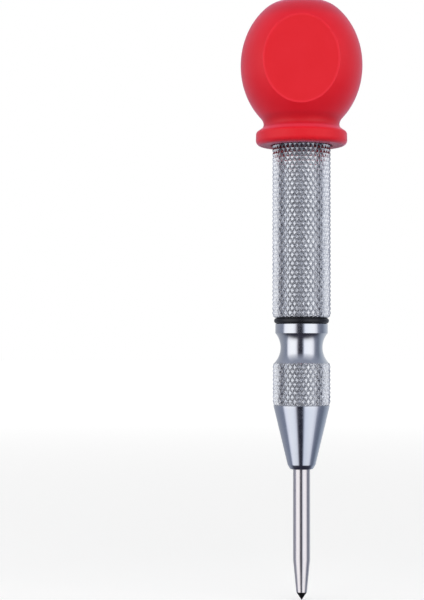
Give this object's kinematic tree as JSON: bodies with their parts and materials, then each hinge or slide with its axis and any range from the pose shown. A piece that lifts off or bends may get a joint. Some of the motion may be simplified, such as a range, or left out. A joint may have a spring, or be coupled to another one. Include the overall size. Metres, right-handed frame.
{
  "type": "automatic centre punch",
  "caption": "Spring-loaded automatic centre punch with a knurled steel body and a ball-shaped cushion cap; pushing it sets off an inner hammer.",
  "frame": {"origin": "the point of the punch pin, with the tool upright and point down", "axes": "+Z along the tool's axis from the point to the cap, the cap's two flats face -Y and +Y, +X to the right of the flat that faces -Y"},
  "size_m": [0.031, 0.0244, 0.152],
  "materials": {
    "punch_pin": "ground tool steel, point ground and hardened dark",
    "nose": "bright nickel-plated steel, diamond-knurled band",
    "o_ring": "black nitrile rubber",
    "body_tube": "nickel-plated steel, thirty-degree diamond knurl",
    "trip_pin": "turned and hardened steel",
    "return_spring": "spring steel, ground ends",
    "hammer": "turned and hardened steel",
    "main_spring": "spring steel, ground ends",
    "adjusting_screw": "zinc-plated steel screw moulded into the cap",
    "cushion_cap": "satin red moulded plastic with two flats"
  },
  "bodies": {
    "barrel": {"body_tube": "body_tube", "return_spring": "return_spring"},
    "ring": {"o_ring": "o_ring"},
    "nose": {"nose": "nose"},
    "punch": {"punch_pin": "punch_pin"},
    "trip": {"trip_pin": "trip_pin"},
    "hammer": {"hammer": "hammer"},
    "spring": {"main_spring": "main_spring"},
    "cap": {"cushion_cap": "cushion_cap", "adjusting_screw": "adjusting_screw"}
  },
  "joints": [
    {"name": "punch_stroke", "type": "slide", "parent": "nose", "child": "punch", "axis": [0, 0, 1], "range_m": [0, 0.009], "stiffness_N_per_m": 3000, "springref_m": -0.006, "deforming": ["return_spring"]},
    {"name": "trip_tilt", "type": "hinge", "parent": "punch", "child": "trip", "pos_m": [0, 0, 0.05615], "axis": [0, -1, 0], "range_deg": [0, 2.22]},
    {"name": "hammer_lift", "type": "slide", "parent": "barrel", "child": "hammer", "axis": [0, 0, 1], "range_m": [0, 0.009], "deforming": ["main_spring"]},
    {"name": "nose_travel", "type": "slide", "parent": "barrel", "child": "ring", "axis": [0, 0, -1], "range_m": [0, 0.0055]},
    {"name": "nose_turn", "type": "hinge", "parent": "ring", "child": "nose", "pos_m": [0, 0, 0.07415], "axis": [0, 0, -1], "range_deg": [0, 1980]},
    {"name": "preload_travel", "type": "slide", "parent": "barrel", "child": "spring", "axis": [0, 0, -1], "range_m": [-0.002, 0.004]},
    {"name": "cap_turn", "type": "hinge", "parent": "spring", "child": "cap", "pos_m": [0, 0, 0.129], "axis": [0, 0, -1], "range_deg": [-720, 1440]}
  ],
  "couplings": [
    {"joint": "trip_tilt", "follows": "punch_stroke", "rad_per_m": 4.31},
    {"joint": "hammer_lift", "follows": "punch_stroke", "ratio": 1},
    {"joint": "nose_turn", "follows": "nose_travel", "rad_per_m": 6283.2},
    {"joint": "cap_turn", "follows": "preload_travel", "rad_per_m": 6283.2}
  ]
}
